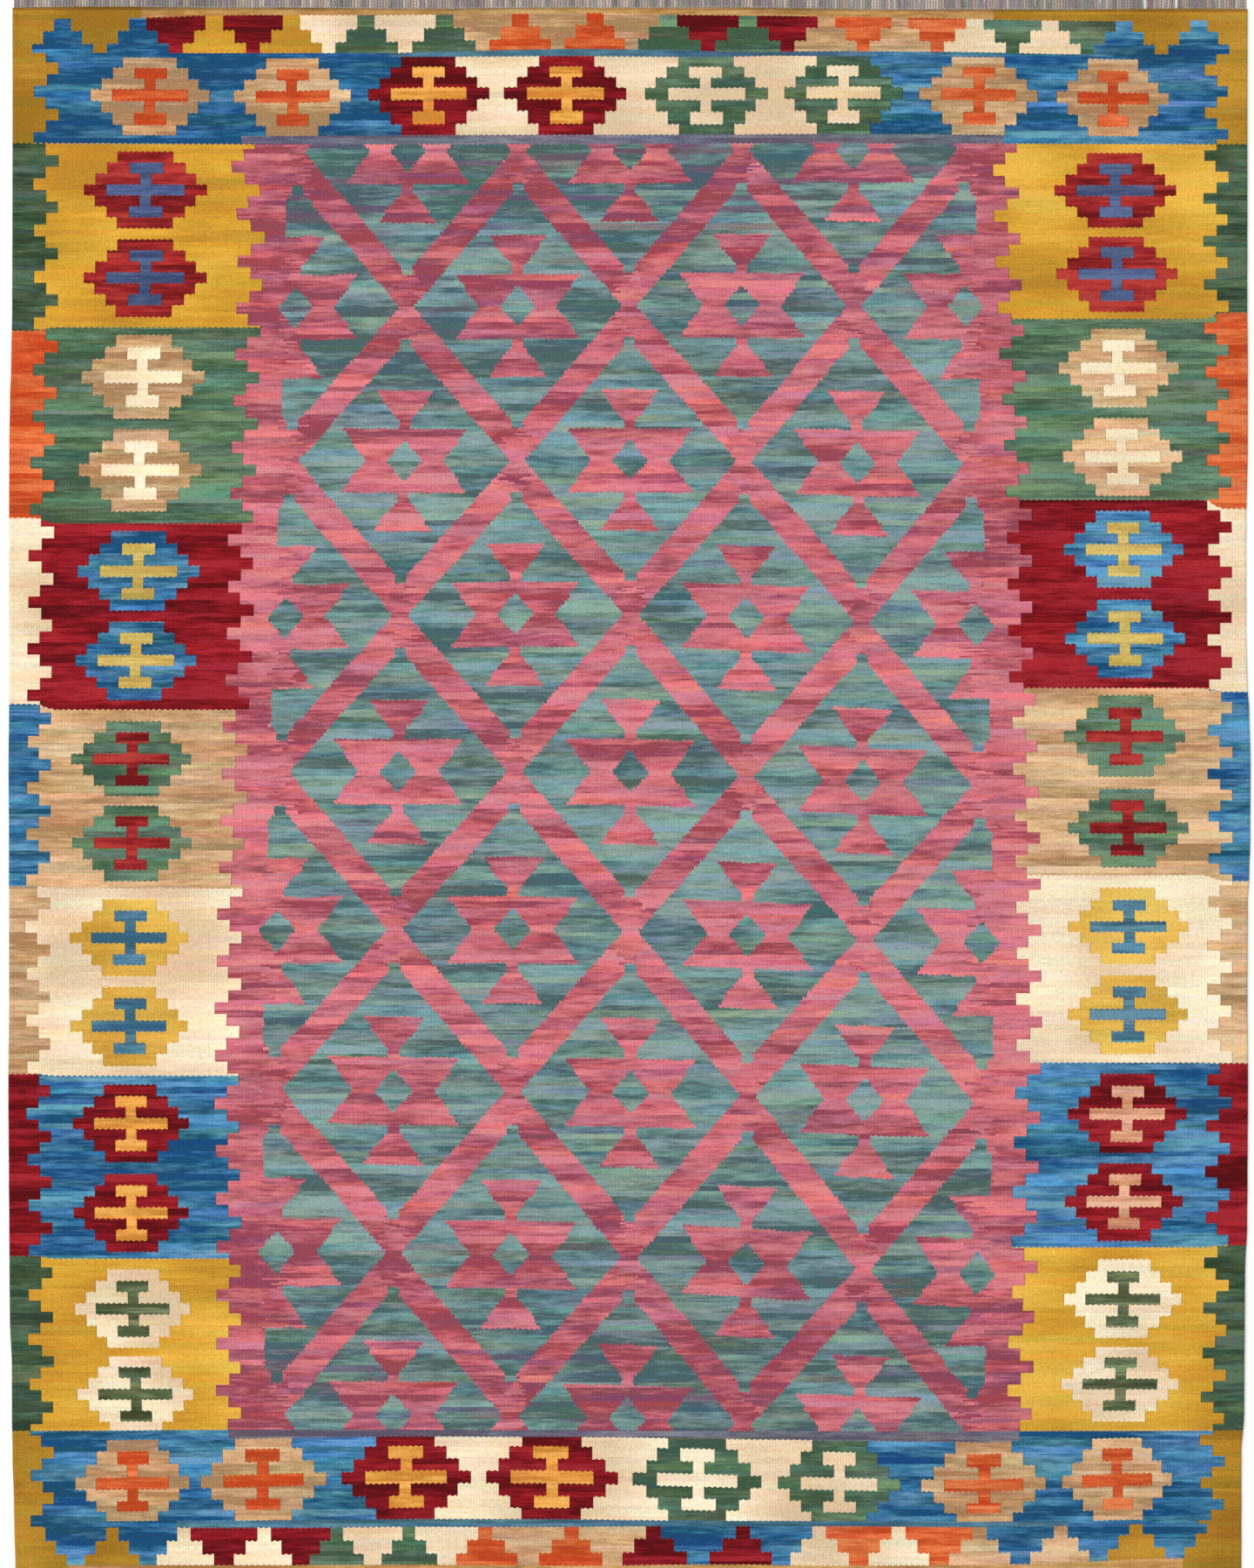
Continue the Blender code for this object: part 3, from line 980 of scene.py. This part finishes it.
def dyedColourWithPaintedLight(tree, x, y, pairs, yarn, area, inField, inBand):
    # each yarn's three dye lots, mixed by long streaks along the weft that differ from area to area; the
    # ends are made darker, and painted light makes the right side lighter
    ramps = []
    for lotNumber in range(3):
        # the dark ramp carries each yarn's calmness as well, and the others how far its hue strays
        colours = [
            (*linear(shades[lotNumber]), calmYarns.get(name, 0.0) if lotNumber == 0 else shades[3])
            for name, shades in yarns.items()
        ]
        ramps.append(steppedRamp(yarn, yarnPlaces, colours))
    dark, middle, light = [Wire(tree, ramp.outputs[0]) for ramp in ramps]
    calm = Wire(tree, ramps[0].outputs[1])
    strays = Wire(tree, ramps[1].outputs[1])

    # the factors here only keep yarns and areas apart
    flow = x + yarn * 0.37 + area * 0.21
    level = yarn * 5.3 + area * 2.9
    run = (pairs * dyeingAndPaintedLight["pairInRun"] + scatter(joined(pairs, 8.0)) * dyeingAndPaintedLight["runRagged"]).floor()
    uneven = (
        (streakOf("lot", flow, run, level) - 0.5) * dyeingAndPaintedLight["lot"]
        + (streakOf("streak", flow, run, level) - 0.5) * dyeingAndPaintedLight["streak"]
        + (streakOf("thread", flow, pairs, level) - 0.5) * dyeingAndPaintedLight["thread"]
    )
    broadScale = dyeingAndPaintedLight["broadScale"]
    broad = cloud(joined(x * broadScale + yarn, y * broadScale + area), 1.0, 0.5)
    cast = cloud(joined(x * dyeingAndPaintedLight["castAcross"] + yarn * 1.9, y * dyeingAndPaintedLight["castAlong"]), 1.0, 0.5)
    endward = (y.size() - dyeingAndPaintedLight["endFrom"]) / dyeingAndPaintedLight["endOver"]
    endward = endward.math("MAXIMUM", 0).math("MINIMUM", 1)
    tone = 0.5 + uneven * (1 - calm) + (broad - 0.5) * calm * dyeingAndPaintedLight["broad"]
    tone = tone + (cast - 0.5) * dyeingAndPaintedLight["cast"]
    # painted light: the tone rises towards the right side
    tone = tone - endward * inField * dyeingAndPaintedLight["darkEnds"] + x * dyeingAndPaintedLight["rightPaintedLight"]
    tone = tone - inBand * pick(y > 0, dyeingAndPaintedLight["topBand"], dyeingAndPaintedLight["bottomBand"])
    colour = blend((tone * 2).math("MINIMUM", 1).math("MAXIMUM", 0), dark, middle)
    colour = blend((tone * 2 - 1).math("MINIMUM", 1).math("MAXIMUM", 0), colour, light)
    odd = streakOf("odd", flow, run, level) - dyeingAndPaintedLight["plumFrom"]
    odd = (odd * dyeingAndPaintedLight["plumRise"]).math("MAXIMUM", 0).math("MINIMUM", dyeingAndPaintedLight["plumMost"])
    colour = blend(odd * endward * inField, colour, (*linear(plum), 1.0))
    warmth = (streakOf("warmth", flow, run, level) - 0.5) * dyeingAndPaintedLight["warmth"] * strays
    leafy = (streakOf("leafy", flow, run, level) - 0.5) * dyeingAndPaintedLight["leafy"] * strays
    return colour, warmth, leafy, cast


def woolMaterial():
    # the dyed yarns of the chart under the weave's relief: rounded ribs over the warps, crossed by the picks
    # that lean over and under, with painted shade between the ribs, between the picks and in the open slits
    material, tree = startMaterial("kilimWool")
    x, y = placeParts(tree)[:2]
    warp = x / weave["warpPitch"]
    oddWarp = warp.floor().math("FLOORED_MODULO", 2)
    pairs = (y / (2 * weave["pick"])).floor()
    yarn, area, slit, inField, inBand = chartedYarns(tree, x, y, pairs, oddWarp)
    colour, warmth, leafy, cast = dyedColourWithPaintedLight(tree, x, y, pairs, yarn, area, inField, inBand)
    rib = (warp * np.pi).sine().size()
    lean = (y / weave["pick"] * np.pi + oddWarp * (np.pi / 2)).sine().size()
    fuzz = cloud(joined(x * weave["fuzzScale"], y * weave["fuzzScale"]), 2.0, 0.6)
    speckAcross, speckAlong = weave["speckScale"]
    speck = cloud(joined(x * speckAcross, y * speckAlong), 1.0, 0.6)
    # painted shade between the ribs, between the picks and in the open slits; the factors after it are the
    # yarn's own tone and the darker top end
    paintedShadeAndTone = 1 - (1 - rib) * weave["grooveShade"] - (1 - lean) * weave["leanShade"]
    paintedShadeAndTone = paintedShadeAndTone * (1 - slit * weave["slitShade"])
    paintedShadeAndTone = paintedShadeAndTone * (weave["plainShade"] + fuzz * weave["fuzzShade"] + speck * weave["speckShade"])
    hem = (y + x.math("MAXIMUM", 0) * weave["hemSlant"]) > weave["hemFrom"]
    paintedShadeAndTone = paintedShadeAndTone * (1 - hem * weave["hemShade"])
    paintedShadeAndTone = paintedShadeAndTone * (1 - weave["castShade"] / 2 + cast * weave["castShade"])
    tint = joined(
        paintedShadeAndTone * (warmth - leafy * 0.5 + 1),
        paintedShadeAndTone * (leafy + 1),
        paintedShadeAndTone * (1 - (warmth + leafy * 0.5)),
    )
    tinted = addNode(tree, "ShaderNodeVectorMath", {0: colour, 1: tint}, operation="MULTIPLY")
    height = rib * weave["ribHeight"] + lean * weave["leanHeight"] + fuzz * weave["fuzzHeight"]
    height = height - slit * weave["slitDepth"]
    roughness = weave["roughness"] + (fuzz - 0.5) * weave["roughSpread"]
    finishMaterial(tree, Wire(tree, tinted.outputs[0]), height, weave, roughness)
    print("wool material:", len(tree.nodes), "nodes")
    return material


wovenCloth = makeCloth()
layPattern(wovenCloth)
planeMap(wovenCloth)
wovenCloth.data.materials.append(woolMaterial())
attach(wovenCloth, "root")
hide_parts("rug_cloth")
print("cloth:", len(wovenCloth.data.polygons) * 2, "triangles")


# the fringe

fringe = {
    "length": 0.052,
    "lockPitch": 0.020,
    "lockWidth": 0.015,
    "lockTip": 0.009,
    "uneven": 0.16,  # a lock may be shorter by this share
    "ragged": 0.05,  # and a strand in it by this one
    "unevenTurns": (2.4, 0.37),  # two waves from lock to lock, in radians
    "lean": 0.0015,
    "leanTurn": 1.7,
    "margin": 0.003,  # from the side edge to the first strand
    "rootDepth": 0.0012,  # how far a strand starts under the cloth
    "closeFrom": 0.010,
    "closeOver": 0.020,
    "wave": 0.0005,
    "waveTurn": 9,  # radians over the strand
    "stack": (0.0004, 0.00035),  # how much higher a strand may lie, and how far it rolls up and down
    "stackTurn": 7,
    "settleOver": 0.012,
    "partings": {1: (0.624, 0.661), -1: ()},  # places across each end where the strands stand apart
    "partedBy": 0.0014,
    "partedOver": 0.005,
    "partedFrom": 0.003,
    "strandPitch": 0.0034,
    "strandRadius": 0.0013,
    "radiusShares": (0.9, 0.2),  # the thinnest strand, and how much thicker others may be
    "taper": 0.45,
    "bundle": 0.0072,  # neighbouring strands this close together have much the same colour
    "bundleShares": (0.7, 0.3),  # how much of its colour comes from the bundle and from the strand
    "tipWidth": 0.05,
    "rings": 15,
    "sides": 6,
    "seed": 11,
}

strandDyes = (  # warp cotton: taupe, grey-green, mauve, grey, beige, pale beige and pale mauve
    (126, 110, 104), (134, 132, 120), (146, 126, 132), (156, 148, 142), (178, 160, 142), (198, 184, 168),
    (168, 150, 150),
)

warpCottonLook = {
    "rootShadow": 0.42,  # painted shadow: how much darker the strands are where they leave the cloth
    "rootShadowLength": 0.003,
    "plainShade": 0.9,
    # painted shade along the twist's grooves
    "twistShade": 0.1,
    "fuzzShade": 0.3,
    "twist": 1400,
    "twistLean": 3.1,
    "twistStart": 20,  # how differently the twist starts on strands of another tone
    "twistHeight": 0.5,  # as a share of the fuzz
    "fuzzScale": (1500, 500, 1500),
    "relief": 0.6,
    "reliefHeight": 0.0004,
    "roughness": 0.86,
    "roughSpread": 0.1,
    "sheen": 0.15,
    "sheenRoughness": 0.5,
    "gloss": 0.3,
}


def lockReach(lock, end):
    # how far a lock of strands reaches: the full length, less an uneven share that rises and falls
    quick, slow = fringe["unevenTurns"]
    shorter = 0.5 + 0.5 * np.sin(quick * lock + end) * np.cos(slow * lock)
    return fringe["length"] * (1 - fringe["uneven"] * shorter)


def strandPaths(end, random):
    # each strand starts under the cloth's end, runs straight out and closes up with its lock at the tip
    up = (end + 1) / 2 * cloth["length"]
    left = float(halfWidth(np.array(up), "left"))
    right = float(halfWidth(np.array(up), "right"))
    lockCount = round((left + right) / fringe["lockPitch"])
    lockPitch = (left + right) / lockCount
    margin = fringe["margin"]
    count = int((left + right - 2 * margin) / fringe["strandPitch"])
    start = np.linspace(-left + margin, right - margin, count)
    lock = np.clip(np.floor((start + left) / lockPitch), 0, lockCount - 1)
    middle = -left + (lock + 0.5) * lockPitch
    reach = lockReach(lock, end) * (1 - fringe["ragged"] * random.random(count))
    along = np.linspace(0, 1, fringe["rings"])[None, :]
    run = along * reach[:, None]
    rooted = start[:, None]
    inLock = (rooted - middle[:, None]) / lockPitch
    closed = np.clip((run - fringe["closeFrom"]) / fringe["closeOver"], 0, 1)
    closed = closed * closed * (3 - 2 * closed)
    tip = inLock * (fringe["lockWidth"] + (fringe["lockTip"] - fringe["lockWidth"]) * along)
    lean = (fringe["lean"] * np.sin(fringe["leanTurn"] * lock + 2 * end))[:, None] * along
    fullTurn = 6.28
    wave = np.sin(along * fringe["waveTurn"] + fullTurn * random.random((count, 1)))
    wave = fringe["wave"] * wave * along
    x = rooted + (middle[:, None] + tip - rooted) * closed + lean + wave
    for place in fringe["partings"][end]:
        away = rooted - place
        aside = np.sign(away) * np.exp(-(away / fringe["partedOver"]) ** 2)
        x = x + fringe["partedBy"] * aside * np.clip(run / fringe["partedFrom"], 0, 1)
    depth = fringe["rootDepth"]
    y = endLine(start, end)[:, None] - end * depth + end * along * (reach[:, None] + depth)
    thinnest, thicker = fringe["radiusShares"]
    radius = fringe["strandRadius"] * (thinnest + thicker * random.random((count, 1)))
    radius = radius * (1 - fringe["taper"] * along ** 6)
    lift = lieOfCloth(start, endLine(start, end))[:, None] + cloth["thickness"] * 0.5
    settle = np.clip(run / fringe["settleOver"], 0, 1)
    higher, rolling = fringe["stack"]
    stack = higher * random.random((count, 1))
    roll = np.sin(along * fringe["stackTurn"] + fullTurn * random.random((count, 1)))
    stack = stack + rolling * (1 + roll)
    z = lift * (1 - settle) + (radius + stack) * settle
    halfSpan = 0.8  # a little more than half the width
    bundleCount = int(2 * halfSpan / fringe["bundle"])
    bundles = random.random(bundleCount)[((start + halfSpan) / fringe["bundle"]).astype(int)]
    fromBundle, fromStrand = fringe["bundleShares"]
    tone = (fromBundle * bundles + fromStrand * random.random(count))[:, None, None]
    return x, y, np.maximum(z, radius), radius, tone


def makeFringe(name, end):
    # a tube of rings round each path, narrowed almost to a point at both ends
    random = np.random.default_rng(fringe["seed"] + end)
    x, y, z, radius, tone = strandPaths(end, random)
    count, rings = x.shape
    sides = fringe["sides"]
    turn = np.arange(sides) / sides * 2 * np.pi
    closing = np.ones(rings)
    closing[0] = closing[-1] = fringe["tipWidth"]
    width = (radius * closing)[..., None]
    points = np.stack([
        x[..., None] + width * np.cos(turn) * end,
        np.broadcast_to(y[..., None], x.shape + (sides,)),
        z[..., None] + width * np.sin(turn),
    ], axis=-1)
    index = np.arange(count * rings * sides).reshape(count, rings, sides)
    ahead = np.roll(index, -1, axis=2)
    quads = np.stack([index[:, :-1], index[:, 1:], ahead[:, 1:], ahead[:, :-1]], axis=-1).reshape(-1, 4)
    piece = makeMesh(name, points.reshape(-1, 3), quads)
    around = np.broadcast_to(turn / (2 * np.pi), index.shape)
    length = np.abs(y - y[:, :1])[..., None]
    storeVector(piece, "strandChart", np.stack([
        around, np.broadcast_to(length, index.shape), np.broadcast_to(tone, index.shape),
    ], axis=-1).reshape(-1, 3))
    return piece


def warpMaterial():
    # each strand has one dye and a twist that winds round it, with painted shade along the twist and a
    # painted shadow where it leaves the cloth
    look = warpCottonLook
    material, tree = startMaterial("warpCotton")
    around, length, tone = attributeParts(tree, "strandChart")
    x, y, z = placeParts(tree)
    dyes = [(*linear(dye), 1.0) for dye in strandDyes]
    dye = steppedRamp((tone * len(dyes)).floor(), len(dyes), dyes)
    folded = (around - 0.5).size() * 2  # runs up and down again, so that the twist has no seam
    twist = length * look["twist"] + folded * look["twistLean"] + tone * look["twistStart"]
    twist = twist.sine()
    acrossScale, alongScale, upScale = look["fuzzScale"]
    fuzz = cloud(joined(x * acrossScale, y * alongScale, z * upScale), 2.0, 0.6)
    root = (1 - length / look["rootShadowLength"]).math("MAXIMUM", 0)
    # painted shade along the twist's grooves
    paintedShadeAndTone = look["plainShade"] + twist * look["twistShade"] + (fuzz - 0.5) * look["fuzzShade"]
    # painted shadow where the strands leave the cloth
    paintedShadeAndTone = paintedShadeAndTone * (1 - root * look["rootShadow"])
    inputs = {0: Wire(tree, dye.outputs[0]), "Scale": paintedShadeAndTone}
    darker = addNode(tree, "ShaderNodeVectorMath", inputs, operation="SCALE")
    roughness = look["roughness"] + (fuzz - 0.5) * look["roughSpread"]
    height = twist * look["twistHeight"] + fuzz
    finishMaterial(tree, Wire(tree, darker.outputs[0]), height, look, roughness)
    return material


warpCotton = warpMaterial()
ends = (("warp_strands_top", "fringe_top", 1), ("warp_strands_bottom", "fringe_bottom", -1))
for pieceName, node, end in ends:
    strands = makeFringe(pieceName, end)
    strands.data.materials.append(warpCotton)
    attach(strands, "root")
    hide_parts(node)
    print(pieceName + ":", len(strands.data.polygons) * 2, "triangles")


# floor, light and camera

studio = {
    "floor": (246, 246, 243),
    "floorReach": 14,
    "floorHeight": -0.0005,
    "floorRoughness": 0.8,
    "skyStrength": 0.65,
    "lampPower": 275,
    "lampSize": 4.5,
    "lampPlace": (-2.2, 0.6, 6.0),
    "cameraHeight": 5.2,
    "cameraPlace": (-0.0024, 0.0090),
    "sensor": 36,
    "seenHeight": 1.8947,  # of the rug, from the picture's lower edge to its upper one
    "seenLevel": 0.003,
    "clipEnd": 50,
}


def makeFloor():
    # one square, just below the rug
    corners = np.array([(-1, -1), (1, -1), (1, 1), (-1, 1)], float) * studio["floorReach"]
    points = np.column_stack([corners, np.full(len(corners), studio["floorHeight"])])
    floor = makeMesh("pale_floor", points, np.array([[0, 1, 2, 3]]))
    material = bpy.data.materials.new("paleFloor")
    material.use_nodes = True
    shader = material.node_tree.nodes["Principled BSDF"]
    shader.inputs["Base Color"].default_value = (*linear(studio["floor"]), 1)
    shader.inputs["Roughness"].default_value = studio["floorRoughness"]
    floor.data.materials.append(material)


def makeLight():
    # an even white room and one large lamp that faces the rug's middle
    world = bpy.data.worlds.new("softRoom")
    world.use_nodes = True
    background = world.node_tree.nodes["Background"]
    background.inputs[0].default_value = (1, 1, 1, 1)
    background.inputs[1].default_value = studio["skyStrength"]
    bpy.context.scene.world = world
    lamp = bpy.data.lights.new("softBox", "AREA")
    lamp.energy = studio["lampPower"]
    lamp.size = studio["lampSize"]
    holder = bpy.data.objects.new("softBox", lamp)
    bpy.context.scene.collection.objects.link(holder)
    holder.location = studio["lampPlace"]
    holder.rotation_euler = holder.location.to_track_quat("Z", "Y").to_euler()


def makeCamera():
    # straight above; the long side of the picture takes the whole sensor
    camera = bpy.data.cameras.new("overhead")
    camera.sensor_width = studio["sensor"]
    camera.lens = studio["sensor"] * (studio["cameraHeight"] - studio["seenLevel"]) / studio["seenHeight"]
    camera.clip_end = studio["clipEnd"]
    holder = bpy.data.objects.new("overhead", camera)
    bpy.context.scene.collection.objects.link(holder)
    holder.location = (*studio["cameraPlace"], studio["cameraHeight"])
    bpy.context.scene.camera = holder


makeFloor()
makeLight()
makeCamera()
bpy.context.scene.view_settings.view_transform = "Standard"
print("floor, light and camera are in place")
